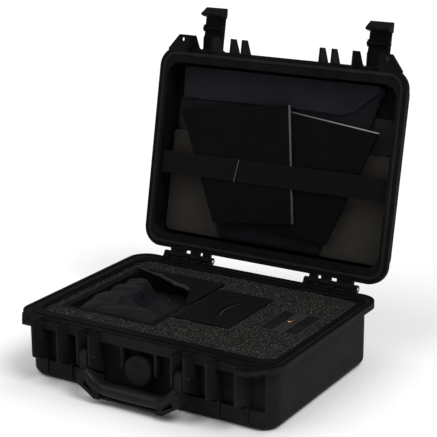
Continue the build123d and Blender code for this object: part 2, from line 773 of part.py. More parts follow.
fixed_pieces = {
    "base_shell": make_base_shell(),
    "hinge_pin_left": mirrored(hinge_pin),
    "hinge_pin_right": hinge_pin,
    "handle_pin_left": mirrored(handle_pin),
    "handle_pin_right": handle_pin,
    "handle_frame": make_handle_frame(),
    "handle_grip": make_handle_grip(),
    "valve_seat": make_valve_seat(),
    "valve_seal": valve_seal_ring(),
    "valve_knob": make_valve_knob(),
    "base_foam": make_base_foam(),
    "foam_floor_pad": make_floor_pad(),
    "tray": make_tray(),
    "tray_flap": make_tray_flap(),
    "airframe_pouch": make_pouch(),
    "fuselage_pod": make_fuselage(),
    "zip_pull": make_zip_pull(),
    "module_case": make_module_case(),
    "module_cover": make_module_cover(),
    "module_screws": make_module_screws(),
    "module_catch": make_finger_catch(),
    "battery_left": make_battery(battery_left),
    "battery_right": make_battery(battery_right),
    "battery_divider": make_battery_divider(),
    "battery_connector": make_connector(),
}

lid_pieces = {
    "lid_shell": make_lid_shell(),
    "lid_seal": make_lid_seal(),
    "lid_foam": make_lid_foam(),
    "board_lower": make_board(213.0, 27.0, 207.0),
    "board_upper": make_board(206.0, 207.6, 268.0),
    "fabric_bag": make_fabric_bag(),
    "bag_flap": make_bag_flap(),
    "wing_left": make_wing(wing_left_outline, wing_left_height, wing_left_spar),
    "wing_left_root": strip(wing_left_root, -wing_root_width, wing_left_height - 0.4,
                            wing_left_height + wing_thickness),
    "wing_left_spar": lid_rod(wing_left_spar, spar_radius, wing_left_height + wing_thickness / 2),
    "wing_right": make_wing(wing_right_outline, wing_right_height, wing_right_spar),
    "wing_right_root": strip(wing_right_root, -wing_root_width, wing_right_height - 0.4,
                             wing_right_height + wing_thickness),
    "wing_right_spar": lid_rod(wing_right_spar, spar_radius, wing_right_height + wing_thickness / 2),
    "elastic_strap": strap_piece(-strap_end, strap_end, strap_height, strap_height + strap_thickness),
    "strap_fold": strap_piece(-strap_end, strap_fold_end, strap_height - strap_thickness, strap_height),
    "strap_keeper": strap_piece(strap_fold_end, strap_fold_end + 2.4, strap_height - 2.0, strap_height),
    "strap_anchors": Compound(children=[anchor_plate(), mirrored(anchor_plate())]),
    "strap_screws": Compound(children=right_screws + [mirrored(screw) for screw in anchor_screws()]),
    "latch_left_lever": mirrored(latch_lever),
    "latch_right_lever": latch_lever,
    "latch_left_bar": mirrored(latch_bar),
    "latch_right_bar": latch_bar,
    "latch_left_pin": mirrored(latch_pin),
    "latch_right_pin": latch_pin,
}

os.makedirs("parts", exist_ok=True)
for name, shape in fixed_pieces.items():
    export_step(shape, f"parts/{name}.step")
for name, shape in lid_pieces.items():
    export_step(swing_open(shape), f"parts/{name}.step")
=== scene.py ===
"""Looks of an open hard transport case that holds a dismantled small fixed-wing drone.

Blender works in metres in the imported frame. Shapes are written in millimetres in one of two
spaces, and one matrix each carries them into the frame:
BASE is x, y, z of the frame;
LID is x, the distance from the lid's rear rim edge, and the height above its rim plane towards
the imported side, which is negative inside the lid.
"""

import json
import math

import bmesh
import bpy
import numpy as np
from mathutils import Matrix, Vector, noise


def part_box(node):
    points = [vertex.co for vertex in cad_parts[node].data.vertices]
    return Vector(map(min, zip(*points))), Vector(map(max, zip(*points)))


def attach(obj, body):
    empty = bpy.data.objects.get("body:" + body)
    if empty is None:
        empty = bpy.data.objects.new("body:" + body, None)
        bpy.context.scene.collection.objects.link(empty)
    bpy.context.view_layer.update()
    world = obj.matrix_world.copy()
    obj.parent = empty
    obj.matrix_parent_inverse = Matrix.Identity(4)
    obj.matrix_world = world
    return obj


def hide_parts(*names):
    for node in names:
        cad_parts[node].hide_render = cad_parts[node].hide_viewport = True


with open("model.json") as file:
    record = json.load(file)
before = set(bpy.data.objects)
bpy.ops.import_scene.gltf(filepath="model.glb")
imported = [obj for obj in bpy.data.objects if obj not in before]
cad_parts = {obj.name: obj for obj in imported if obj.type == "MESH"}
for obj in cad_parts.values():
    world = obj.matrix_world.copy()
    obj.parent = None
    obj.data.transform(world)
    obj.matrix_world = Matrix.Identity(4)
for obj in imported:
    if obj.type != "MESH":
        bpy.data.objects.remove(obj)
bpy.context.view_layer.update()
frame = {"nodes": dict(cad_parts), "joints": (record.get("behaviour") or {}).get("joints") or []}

MM = 0.001

# ---------------------------------------------------------------- frames
hinge = next(j for j in frame["joints"] if j["name"] == "lid_hinge")
hinge_point = Vector(hinge["pos_m"])
lid_angle = math.radians(hinge["range_deg"][1])
along_lid = Vector((0.0, -math.cos(lid_angle), math.sin(lid_angle)))
out_of_lid = Vector((0.0, -math.sin(lid_angle), -math.cos(lid_angle)))
rim_edge_from_hinge = 11.0 * MM
rim_plane_from_hinge = 2.0 * MM
lid_origin = hinge_point + along_lid * rim_edge_from_hinge + out_of_lid * rim_plane_from_hinge

BASE = Matrix.Scale(MM, 4)
LID = Matrix((
    (MM, 0.0, 0.0, 0.0),
    (0.0, along_lid.y * MM, out_of_lid.y * MM, lid_origin.y),
    (0.0, along_lid.z * MM, out_of_lid.z * MM, lid_origin.z),
    (0.0, 0.0, 0.0, 1.0),
))


# ---------------------------------------------------------------- camera, light and floor
def make_camera():
    """The camera of the main view: azimuth 31.4 degrees, elevation 16.8 degrees, a long lens."""
    target = Vector((0.03521, 0.0, 0.25591))
    azimuth, elevation, roll = (math.radians(a) for a in (31.388, 16.850, 0.274))
    distance = 2.13045
    back = Vector((math.sin(azimuth) * math.cos(elevation),
                   -math.cos(azimuth) * math.cos(elevation), math.sin(elevation)))
    data = bpy.data.cameras.new("camera")
    data.sensor_width = 36.0
    data.lens = 113.35
    camera = bpy.data.objects.new("camera", data)
    bpy.context.scene.collection.objects.link(camera)
    turn = Matrix.Rotation(-roll, 4, back) @ (-back).to_track_quat("-Z", "Y").to_matrix().to_4x4()
    camera.matrix_world = Matrix.Translation(target + back * distance) @ turn
    bpy.context.scene.camera = camera


def sun(name, azimuth, elevation, strength, width):
    """A broad, soft far light from a compass direction seen from the front."""
    data = bpy.data.lights.new(name, "SUN")
    data.energy = strength
    data.angle = math.radians(width)
    lamp = bpy.data.objects.new(name, data)
    a, e = math.radians(azimuth), math.radians(elevation)
    towards = Vector((math.sin(a) * math.cos(e), -math.cos(a) * math.cos(e), math.sin(e)))
    lamp.rotation_euler = towards.to_track_quat("Z", "Y").to_euler()
    bpy.context.scene.collection.objects.link(lamp)


def make_studio():
    """Pale floor, an even pale surround and three soft lights."""
    world = bpy.data.worlds.new("studio")
    world.use_nodes = True
    world.node_tree.nodes["Background"].inputs["Color"].default_value = (1.0, 1.0, 1.0, 1.0)
    world.node_tree.nodes["Background"].inputs["Strength"].default_value = 0.33
    bpy.context.scene.world = world
    sun("key", 70, 52, 1.5, 30)
    sun("fill", -40, 50, 1.0, 50)
    sun("back", 165, 55, 0.8, 50)
    bm = bmesh.new()
    bmesh.ops.create_grid(bm, x_segments=1, y_segments=1, size=14.0)
    mesh = bpy.data.meshes.new("floor")
    bm.to_mesh(mesh)
    bm.free()
    floor = bpy.data.objects.new("floor", mesh)
    bpy.context.scene.collection.objects.link(floor)
    m = Shader("floor_pale")
    m.base((0.93, 0.93, 0.93), (0.95, 0.95, 0.95), m.noise(3.0))
    m.set("Roughness", 0.9)
    m.set("Specular IOR Level", 0.0)
    floor.data.materials.append(m.material)
    view = bpy.context.scene.view_settings
    view.view_transform = "Standard"


# ---------------------------------------------------------------- materials
def grey(value, tint=(1.0, 1.0, 1.0)):
    """A linear colour from a display value of 0 to 255 and a tint."""
    v = value / 255.0
    linear = v / 12.92 if v <= 0.04045 else ((v + 0.055) / 1.055) ** 2.4
    return tuple(linear * t for t in tint)


class Shader:
    """A principled material with the few node chains the pieces share."""

    def __init__(self, name, lid=False):
        self.material = bpy.data.materials.new(name)
        self.material.use_nodes = True
        tree = self.material.node_tree
        self.nodes, self.links = tree.nodes, tree.links
        self.bsdf = self.nodes["Principled BSDF"]
        self.place = self.nodes.new("ShaderNodeTexCoord").outputs["Object"]
        if lid:
            turn = self.nodes.new("ShaderNodeMapping")
            turn.inputs["Rotation"].default_value = (lid_angle - math.pi, 0.0, 0.0)
            self.links.new(self.place, turn.inputs["Vector"])
            self.place = turn.outputs["Vector"]
        self.height = None

    def set(self, socket, value):
        self.bsdf.inputs[socket].default_value = value

    def colour(self, low, high, factor, low_at=0.3, high_at=0.7):
        """A ramp between two colours by a factor output."""
        ramp = self.nodes.new("ShaderNodeValToRGB")
        ramp.color_ramp.elements[0].position = low_at
        ramp.color_ramp.elements[1].position = high_at
        ramp.color_ramp.elements[0].color = (*low, 1.0)
        ramp.color_ramp.elements[1].color = (*high, 1.0)
        self.links.new(factor, ramp.inputs["Fac"])
        return ramp.outputs["Color"]

    def base(self, low, high, factor, low_at=0.3, high_at=0.7):
        self.links.new(self.colour(low, high, factor, low_at, high_at), self.bsdf.inputs["Base Color"])

    def mixed(self, factor, first, second):
        """Two colour outputs mixed by a factor output."""
        mix = self.nodes.new("ShaderNodeMix")
        mix.data_type = "RGBA"
        self.links.new(factor, mix.inputs["Factor"])
        colour_a, colour_b = (s for s in mix.inputs if s.type == "RGBA")
        self.links.new(first, colour_a)
        self.links.new(second, colour_b)
        return next(s for s in mix.outputs if s.type == "RGBA")

    def noise(self, scale, detail=3.0, roughness=0.55, stretch=None):
        node = self.nodes.new("ShaderNodeTexNoise")
        node.inputs["Scale"].default_value = scale
        node.inputs["Detail"].default_value = detail
        node.inputs["Roughness"].default_value = roughness
        self.links.new(self.stretched(stretch), node.inputs["Vector"])
        return node.outputs["Fac"]

    def cells(self, scale, feature="F1"):
        node = self.nodes.new("ShaderNodeTexVoronoi")
        node.feature = feature
        node.inputs["Scale"].default_value = scale
        self.links.new(self.place, node.inputs["Vector"])
        return node.outputs["Distance"]

    def stretched(self, stretch):
        if stretch is None:
            return self.place
        node = self.nodes.new("ShaderNodeMapping")
        node.inputs["Scale"].default_value = stretch
        self.links.new(self.place, node.inputs["Vector"])
        return node.outputs["Vector"]

    def waves(self, pitch_mm, axis, distortion=0.0):
        """Bands across one axis, with their pitch in millimetres."""
        node = self.nodes.new("ShaderNodeTexWave")
        node.bands_direction = axis
        node.inputs["Scale"].default_value = math.pi / 10.0 / (pitch_mm * MM)
        node.inputs["Distortion"].default_value = distortion
        node.inputs["Detail"].default_value = 0.0
        self.links.new(self.place, node.inputs["Vector"])
        return node.outputs["Fac"]

    def math(self, operation, a, b):
        node = self.nodes.new("ShaderNodeMath")
        node.operation = operation
        for socket, value in zip(node.inputs, (a, b)):
            if isinstance(value, (int, float)):
                socket.default_value = value
            else:
                self.links.new(value, socket)
        return node.outputs[0]

    def rough(self, low, high, factor):
        node = self.nodes.new("ShaderNodeMapRange")
        node.inputs["To Min"].default_value = low
        node.inputs["To Max"].default_value = high
        self.links.new(factor, node.inputs["Value"])
        self.links.new(node.outputs["Result"], self.bsdf.inputs["Roughness"])

    def bump(self, factor, distance_mm, strength=1.0):
        node = self.nodes.new("ShaderNodeBump")
        node.inputs["Distance"].default_value = distance_mm * MM
        node.inputs["Strength"].default_value = strength
        self.links.new(factor, node.inputs["Height"])
        if self.height is not None:
            self.links.new(self.height, node.inputs["Normal"])
        self.height = node.outputs["Normal"]
        self.links.new(self.height, self.bsdf.inputs["Normal"])


def moulded(name, dark, light, rough_low, rough_high, specular=0.25, grain=0.05):
    """Black moulded plastic: fine spark-eroded grain, faint flow marks and scuffs."""
    m = Shader(name)
    m.base(dark, light, m.noise(*SCUFF), *SCUFF_RANGE)
    return grained(m, rough_low, rough_high, specular, grain)


def grained(m, rough_low, rough_high, specular, grain):
    """The fine grain and the faint waviness of a moulded surface."""
    m.rough(rough_low, rough_high, m.noise(210.0, 4.0))
    m.set("Specular IOR Level", specular)
    m.bump(m.noise(1500.0, 2.0), grain)
    m.bump(m.noise(60.0, 2.0), 0.25, 0.35)
    return m.material


def base_plastic():
    """The base's plastic: the body drawn lighter and cooler than the lid's as painted bounce light from the
    floor, and the rim's top drawn darker as painted shade.
    """
    m = Shader("case_plastic")
    split = m.nodes.new("ShaderNodeSeparateXYZ")
    m.links.new(m.place, split.inputs["Vector"])
    scuff = m.noise(*SCUFF)
    # painted light: the body is the case plastic drawn lighter and cooler than the lid's
    body = m.colour(grey(25, COOL), grey(33, COOL), scuff, *SCUFF_RANGE)
    # painted shade: the rim's top is drawn darker than the body
    rim = m.colour(grey(9), grey(16), scuff, *SCUFF_RANGE)
    # a mask by height for the painted shade on the rim's top
    height = m.math("MULTIPLY", split.outputs["Z"], RIM_SHADE_SCALE)
    top = m.colour((0.0,) * 3, (1.0,) * 3, height, RIM_SHADE_SCALE * RIM_SHADE_FROM, RIM_SHADE_SCALE * RIM_SHADE_TO)
    m.links.new(m.mixed(top, body, rim), m.bsdf.inputs["Base Color"])
    return grained(m, 0.46, 0.62, 0.025, 0.05)


def woven(name, dark, light, pitch, specular=0.2, sheen=0.15, lid=False, depth=0.12):
    """Plain-woven cloth: two crossing sets of threads, uneven dye and a soft sheen."""
    m = Shader(name, lid)
    threads = m.math("MULTIPLY", m.waves(pitch, "X", 0.6), m.waves(pitch, "Y", 0.6))
    patches = m.noise(26.0, 5.0, 0.6)
    m.base(dark, light, m.math("ADD", m.math("MULTIPLY", patches, 0.75), m.math("MULTIPLY", threads, 0.3)),
           0.3, 0.75)
    m.rough(0.55, 0.8, patches)
    m.set("Specular IOR Level", specular)
    m.set("Sheen Weight", sheen)
    m.set("Sheen Roughness", 0.45)
    m.bump(threads, depth)
    m.bump(m.noise(420.0, 3.0), 0.12, 0.6)
    return m.material


def open_foam(name, dark, mid, fleck, cell=620.0, fleck_from=0.62, specular=0.15, lid=False):
    """Open-cell foam: pores darkened with painted shade, a mottled body and bright flecks where cell walls
    catch light.
    """
    m = Shader(name, lid)
    pores = m.cells(cell)
    coarse = m.noise(150.0, 4.0, 0.7)
    body = m.colour(dark, mid, m.math("ADD", m.math("MULTIPLY", coarse, 0.7), m.math("MULTIPLY", pores, 0.5)),
                    0.35, 0.85)
    flecks = m.colour((0.0, 0.0, 0.0), (1.0, 1.0, 1.0), m.noise(430.0, 2.0, 0.8), fleck_from, fleck_from + 0.09)
    bright = m.colour(mid, fleck, m.noise(900.0, 1.0), 0.3, 0.7)
    m.links.new(m.mixed(flecks, body, bright), m.bsdf.inputs["Base Color"])
    m.rough(0.8, 0.98, coarse)
    m.set("Specular IOR Level", specular)
    m.bump(pores, 0.9, 0.8)
    m.bump(m.noise(300.0, 3.0), 0.5, 0.5)
    return m.material


def metal(name, low, high, rough_low, rough_high):
    """Plain metal with fine brushing and dull spots."""
    m = Shader(name)
    m.base(low, high, m.noise(500.0, 3.0, 0.6, (0.15, 1.0, 1.0)))
    m.rough(rough_low, rough_high, m.noise(260.0, 3.0))
    m.set("Metallic", 1.0)
    m.bump(m.noise(1800.0, 1.0, 0.5, (0.1, 1.0, 1.0)), 0.02)
    return m.material


NAVY = (0.95, 0.92, 1.24)
COOL = (0.98, 0.98, 1.09)
KHAKI = (1.14, 1.02, 0.88)
SCUFF = (38.0, 6.0, 0.62)            # scale, detail and roughness of the noise that scuffs plastic
SCUFF_RANGE = (0.35, 0.72)           # the part of that noise that runs from dark to light
RIM_SHADE_FROM, RIM_SHADE_TO = 0.1060, 0.1074    # heights in metres between which the base turns to its painted rim-top shade
RIM_SHADE_SCALE = 5.0                      # brings those heights into the middle of a colour ramp


def make_materials():
    """One material for each of the record's slots."""
    made = {
        "case_plastic": base_plastic(),
        # the lid's plastic: the same plastic as the base, drawn darker as painted shade
        "lid_plastic_shaded": moulded("lid_plastic_shaded", grey(15), grey(21), 0.42, 0.58, 0.02),
        "handle_rubber": moulded("handle_rubber", grey(22, COOL), grey(29, COOL), 0.3, 0.42, 0.09, 0.08),
        # the seal rubber is drawn lighter than the plastic as a painted highlight along the seals
        "seal_rubber": moulded("seal_rubber", grey(24), grey(31), 0.4, 0.55, 0.06, 0.04),
        "dark_steel": moulded("dark_steel", grey(14), grey(26), 0.3, 0.45, 0.3, 0.02),
        "module_plastic": moulded("module_plastic", grey(13), grey(18), 0.45, 0.6, 0.05, 0.04),
        "battery_wrap": moulded("battery_wrap", grey(18, (1.05, 0.98, 1.0)), grey(25), 0.35, 0.5, 0.12, 0.02),
        "pin_steel": metal("pin_steel", (0.5, 0.5, 0.5), (0.72, 0.72, 0.72), 0.18, 0.34),
        "connector_gold": metal("connector_gold", (0.7, 0.5, 0.16), (0.92, 0.74, 0.32), 0.16, 0.3),
        "foam_grey": open_foam("foam_grey", grey(6), grey(38, (1.05, 1.0, 0.92)), grey(118, (1.04, 1.0, 0.95)),
                               560.0, 0.57, 0.03),
        "airframe_foam": open_foam("airframe_foam", grey(10), grey(18), grey(28), 900.0, 0.7, 0.05),
        "liner_pale": open_foam("liner_pale", grey(34), grey(48), grey(70), 900.0, 0.62, 0.05),
        "tray_nylon": woven("tray_nylon", grey(12), grey(18), 0.9, 0.03, 0.01),
        "pouch_fabric": woven("pouch_fabric", grey(11, NAVY), grey(27, NAVY), 0.7, 0.09, 0.03),
        # the hem is the tray's nylon drawn lighter, as a painted highlight on its curled edge
        "hem_fabric_lit": woven("hem_fabric_lit", grey(26), grey(52), 0.7, 0.1, 0.03),
        "bag_fabric": woven("bag_fabric", grey(17, NAVY), grey(25, NAVY), 0.8, 0.06, 0.03, True),
        "flap_fabric": woven("flap_fabric", grey(24, NAVY), grey(36, NAVY), 0.8, 0.06, 0.03, True),
        "board_khaki": open_foam("board_khaki", grey(42, KHAKI), grey(56, KHAKI), grey(66, KHAKI),
                                 1500.0, 0.72, 0.1, True),
        "board_grey": open_foam("board_grey", grey(26), grey(36), grey(44), 1500.0, 0.72, 0.1, True),
        "strap_elastic": woven("strap_elastic", grey(10), grey(16), 1.1, 0.05, 0.03, True, 0.25),
        "keeper_pale": woven("keeper_pale", grey(70), grey(98), 0.9, 0.1, 0.05, True),
    }
    made["wing_skin"] = wing_skin()
    made["wing_edge_left"] = wing_edge("wing_edge_left", "Z", 0.17, 0.44, grey(46), grey(92))
    made["wing_edge_right"] = wing_edge("wing_edge_right", "X", 0.03, 0.18, grey(26), grey(138))
    made["spar_carbon"] = moulded("spar_carbon", grey(10), grey(18), 0.25, 0.35, 0.5, 0.03)
    return made


def wing_skin():
    """Satin black film over moulded foam beads."""
    m = Shader("wing_skin", True)
    beads = m.cells(420.0)
    m.base(grey(7), grey(11), m.noise(30.0, 5.0, 0.6))
    m.rough(0.5, 0.62, m.noise(120.0, 3.0))
    m.set("Specular IOR Level", 0.035)
    m.bump(beads, 0.06, 0.6)
    m.bump(m.noise(24.0, 2.0), 0.5, 0.3)
    return m.material


def wing_edge(name, axis, low_at, high_at, dim, bright):
    """Pale edge strip, darker towards the low end of an axis with a ragged change (places in metres)."""
    m = Shader(name)
    split = m.nodes.new("ShaderNodeSeparateXYZ")
    m.links.new(m.place, split.inputs["Vector"])
    ramp_jitter = m.math("MULTIPLY", m.noise(180.0, 5.0, 0.65), 0.5 * (high_at - low_at))
    m.base(dim, bright, m.math("ADD", split.outputs[axis], ramp_jitter), low_at, high_at)
    m.rough(0.35, 0.55, m.noise(300.0, 3.0))
    m.set("Specular IOR Level", 0.2)
    m.bump(m.noise(900.0, 2.0), 0.05)
    return m.material


# ---------------------------------------------------------------- mesh builders
def piece(name, verts, faces, matrix, body, slot, replaced=(), smooth=50.0, material=None):
    """A closed mesh in millimetres as an object that rides on a body and stands for CAD nodes.

    Its material has the record slot's name unless another is given.
    """
    bm = bmesh.new()
    made = [bm.verts.new(v) for v in verts]
    for face in faces:
        bm.faces.new([made[i] for i in face])
    bm.transform(matrix)
    bmesh.ops.recalc_face_normals(bm, faces=bm.faces[:])
    mesh = bpy.data.meshes.new(name)
    bm.to_mesh(mesh)
    bm.free()
    obj = bpy.data.objects.new(name, mesh)
    bpy.context.scene.collection.objects.link(obj)
    shade(obj, smooth)
    paint(obj, MATERIALS[material or slot])
    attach(obj, body)
    if replaced:
        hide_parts(*replaced)
    return obj


def shade(obj, degrees):
    """Smooth shading that keeps edges sharper than the angle."""
    for polygon in obj.data.polygons:
        polygon.use_smooth = True
    obj.data.set_sharp_from_angle(angle=math.radians(degrees))


def paint(obj, material):
    """The one material of an object."""
    obj.data.materials.clear()
    obj.data.materials.append(material)


def lines(low, high, step, extra=()):
    """Rising coordinates from low to high with extra exact values and no slivers."""
    count = max(1, round((high - low) / step))
    values = sorted([low + (high - low) * i / count for i in range(count + 1)] + list(extra))
    fixed = set(extra) | {low, high}
    kept = []
    for value in values:
        if kept and value - kept[-1] < step * 0.35:
            if value in fixed and kept[-1] not in fixed:
                kept[-1] = value
            elif value not in fixed or value == kept[-1]:
                continue
            else:
                kept.append(value)
        else:
            kept.append(value)
    return kept


def grid_patch(xs, ys, keep):
    """Vertices (x, y) and quads of a grid, without the quads that keep() refuses."""
    index, points, quads = {}, [], []

    def corner(i, j):
        if (i, j) not in index:
            index[(i, j)] = len(points)
            points.append((xs[i], ys[j]))
        return index[(i, j)]

    for i in range(len(xs) - 1):
        for j in range(len(ys) - 1):
            if keep((xs[i] + xs[i + 1]) / 2, (ys[j] + ys[j + 1]) / 2):
                quads.append((corner(i, j), corner(i + 1, j), corner(i + 1, j + 1), corner(i, j + 1)))
    return points, quads


def cut_patch(outline, step):
    """A grid cut to a convex outline, as (x, y) points and faces."""
    xs, ys = [p[0] for p in outline], [p[1] for p in outline]
    bm = bmesh.new()
    counts = [max(1, round((max(c) - min(c)) / step)) for c in (xs, ys)]
    bmesh.ops.create_grid(bm, x_segments=counts[0], y_segments=counts[1], size=0.5)
    for v in bm.verts:
        v.co.x = min(xs) - 0.5 + (v.co.x + 0.5) * (max(xs) - min(xs) + 1.0)
        v.co.y = min(ys) - 0.5 + (v.co.y + 0.5) * (max(ys) - min(ys) + 1.0)
    middle = Vector((sum(xs) / len(xs), sum(ys) / len(ys), 0.0))
    for (xa, ya), (xb, yb) in zip(outline, outline[1:] + outline[:1]):
        normal = Vector((yb - ya, xa - xb, 0.0))
        if normal.dot(middle - Vector((xa, ya, 0.0))) > 0:
            normal = -normal
        bmesh.ops.bisect_plane(bm, geom=bm.verts[:] + bm.edges[:] + bm.faces[:], dist=1e-4,
                               plane_co=(xa, ya, 0.0), plane_no=normal, clear_outer=True)
    bmesh.ops.remove_doubles(bm, verts=bm.verts[:], dist=step * 0.08)
    bm.verts.index_update()
    points = [(v.co.x, v.co.y) for v in bm.verts]
    faces = [tuple(v.index for v in f.verts) for f in bm.faces]
    bm.free()
    return points, faces


def solid_patch(points, faces, top, bottom, rows=1, wall=None):
    """Closes a flat patch into a solid with a top and a bottom height at every point.

    wall(x, y, z) may move the points of the side walls between the two.
    """
    count = len(points)
    verts = [(x, y, top(x, y)) for x, y in points] + [(x, y, bottom(x, y)) for x, y in points]
    solid = [tuple(f) for f in faces] + [tuple(i + count for i in reversed(f)) for f in faces]
    edges = {}
    for f in faces:
        for a, b in zip(f, f[1:] + f[:1]):
            edges[(a, b)] = True
    border = [(a, b) for a, b in edges if (b, a) not in edges]
    ladder = {}
    for i in {v for edge in border for v in edge}:
        (x, y), high, low = points[i], verts[i][2], verts[i + count][2]
        ladder[i] = [i]
        for row in range(1, rows):
            z = high + (low - high) * row / rows
            ladder[i].append(len(verts))
            verts.append(wall(x, y, z) if wall else (x, y, z))
        ladder[i].append(i + count)
    for a, b in border:
        for upper, lower in zip(range(rows), range(1, rows + 1)):
            solid.append((ladder[b][upper], ladder[a][upper], ladder[a][lower], ladder[b][lower]))
    return verts, solid


def rounded(points, radius, steps=4):
    """A convex outline with its corners rounded; radius may be one number or one per corner."""
    radii = radius if isinstance(radius, (list, tuple)) else [radius] * len(points)
    out = []
    for i, corner in enumerate(points):
        p, a, b = Vector(corner), Vector(points[i - 1]), Vector(points[(i + 1) % len(points)])
        u, v = (a - p).normalized(), (b - p).normalized()
        half = u.angle(v) / 2
        reach = min(radii[i] / math.tan(half), 0.45 * (a - p).length, 0.45 * (b - p).length)
        centre = p + (u + v).normalized() * (reach / math.cos(half))
        start, end = p + u * reach - centre, p + v * reach - centre
        for k in range(steps + 1):
            direction = start.lerp(end, k / steps).normalized() * start.length
            out.append(tuple(centre + direction))
    return out


def rectangle(x_low, x_high, y_low, y_high):
    return [(x_low, y_low), (x_high, y_low), (x_high, y_high), (x_low, y_high)]


def inside_distance(outline):
    """A function of (x, y): how far inside a convex outline the point lies."""
    middle = Vector((sum(p[0] for p in outline) / len(outline), sum(p[1] for p in outline) / len(outline)))
    sides = []
    for a, b in zip(outline, outline[1:] + outline[:1]):
        a, b = Vector(a), Vector(b)
        if (b - a).length < 1e-6:
            continue
        normal = Vector((a.y - b.y, b.x - a.x)).normalized()
        if normal.dot(middle - a) < 0:
            normal = -normal
        sides.append((a.x, a.y, normal.x, normal.y))
    return lambda x, y: min((x - ax) * nx + (y - ay) * ny for ax, ay, nx, ny in sides)


def drop(distance, radius):
    """How far a rounded edge has fallen at a distance inside it."""
    if distance >= radius:
        return 0.0
    inner = radius - max(distance, 0.0)
    return radius - math.sqrt(max(radius * radius - inner * inner, 0.0))


def soft_noise(x, y, scale, seed, octaves=3):
    """Smooth noise of about plus or minus one, with its grain size in millimetres."""
    return noise.fractal(Vector((x / scale, y / scale, seed)), 1.0, 2.0, octaves)


def ring_loft(rings):
    """A closed surface through rings of equally many points, with its two ends filled."""
    count = len(rings[0])
    verts = [p for ring in rings for p in ring]
    faces = []
    for level in range(len(rings) - 1):
        for i in range(count):
            j = (i + 1) % count
            here, above = level * count, (level + 1) * count
            faces.append((here + i, here + j, above + j, above + i))
    faces.append(tuple(reversed(range(count))))
    faces.append(tuple(range((len(rings) - 1) * count, len(rings) * count)))
    return verts, faces


def box_ring(x_low, x_high, y_low, y_high, radius, z, parts=(44, 54), arc=6):
    """A rounded rectangle at a height, with its sides along x and y divided into parts."""
    radius = max(radius, 0.2)
    corners = [(x_high - radius, y_low + radius, -90), (x_high - radius, y_high - radius, 0),
               (x_low + radius, y_high - radius, 90), (x_low + radius, y_low + radius, 180)]
    out = []
    for i, (cx, cy, start) in enumerate(corners):
        for k in range(arc + 1):
            angle = math.radians(start + 90.0 * k / arc)
            out.append((cx + radius * math.cos(angle), cy + radius * math.sin(angle), z))
        nx, ny, turn = corners[(i + 1) % 4]
        end = (nx + radius * math.cos(math.radians(turn)), ny + radius * math.sin(math.radians(turn)))
        first = out[-1]
        divided = parts[1 - i % 2]
        for k in range(1, divided):
            t = k / divided
            out.append((first[0] + (end[0] - first[0]) * t, first[1] + (end[1] - first[1]) * t, z))
    return out


# ---------------------------------------------------------------- cloth
def settle(obj, pressure, cap_mm, shrink=0.0, pinned=None, frames=20, stiff=8.0):
    """Lets cloth swell and crease for a few steps, then keeps the result with a capped movement."""
    before = np.array([v.co for v in obj.data.vertices])
    cloth = obj.modifiers.new("settle", "CLOTH")
    settings = cloth.settings
    settings.quality = 6
    settings.mass = 0.25
    settings.tension_stiffness = stiff
    settings.compression_stiffness = stiff
    settings.shear_stiffness = stiff / 2
    settings.bending_stiffness = 0.08
    settings.shrink_min = shrink
    settings.use_pressure = pressure > 0
    settings.uniform_pressure_force = pressure
    settings.effector_weights.gravity = 0.0
    cloth.collision_settings.use_collision = False
    if pinned:
        group = obj.vertex_groups.new(name="pinned")
        group.add([i for i, v in enumerate(obj.data.vertices) if pinned(v.co)], 1.0, "REPLACE")
        settings.vertex_group_mass = "pinned"
    cloth.point_cache.frame_end = frames
    for step in range(1, frames + 1):
        bpy.context.scene.frame_set(step)
    evaluated = obj.evaluated_get(bpy.context.evaluated_depsgraph_get())
    after = np.array([v.co for v in evaluated.data.vertices])
    obj.modifiers.remove(cloth)
    move = after - before
    length = np.linalg.norm(move, axis=1, keepdims=True)
    cap = cap_mm * MM
    move *= np.minimum(1.0, cap / np.maximum(length, 1e-9))
    obj.data.vertices.foreach_set("co", (before + move).astype(np.float32).ravel())
    obj.data.update()
    bpy.context.scene.frame_set(1)


def apply_modifiers(obj):
    """Replaces the mesh with what its modifiers make of it."""
    depsgraph = bpy.context.evaluated_depsgraph_get()
    mesh = bpy.data.meshes.new_from_object(obj.evaluated_get(depsgraph))
    obj.modifiers.clear()
    obj.data = mesh


def remesh(obj, voxel_mm):
    modifier = obj.modifiers.new("remesh", "REMESH")
    modifier.mode = "VOXEL"
    modifier.voxel_size = voxel_mm * MM
    apply_modifiers(obj)


def subdivide(obj, levels=1):
    modifier = obj.modifiers.new("subdivide", "SUBSURF")
    modifier.levels = modifier.render_levels = levels
    apply_modifiers(obj)
    shade(obj, 80.0)


# ---------------------------------------------------------------- base contents
WELL_GAP = 0.8                       # between a well's wall and what stands in it
FOAM_TOP = 101.0
FOAM_LOW = 16.0
TRAY_WELL = (-202.0, -22.0, -102.0, 118.0)
MODULE_WELL = (-18.0, 84.0, -54.0, 91.0)
BATTERY_WELL = (116.0, 188.0, -24.0, 68.0)
FOAM_SIDE = 217.0
FOAM_FRONT = -148.0
FOAM_REAR = 157.0
FOAM_CORNER = 23.0
CUBE = 17.5
CUT_X, CUT_Y = -18.0, -67.0          # one knife cut each way; the others lie a cube apart
FULL_CUT, SHALLOW_CUT = 2.6, 0.7     # the cut in front of the control unit is the deep one
CUT_HALF_WIDTH = 0.9
WELL_ROUNDING = 1.3


def in_box(x, y, bounds):
    return bounds[0] < x < bounds[1] and bounds[2] < y < bounds[3]


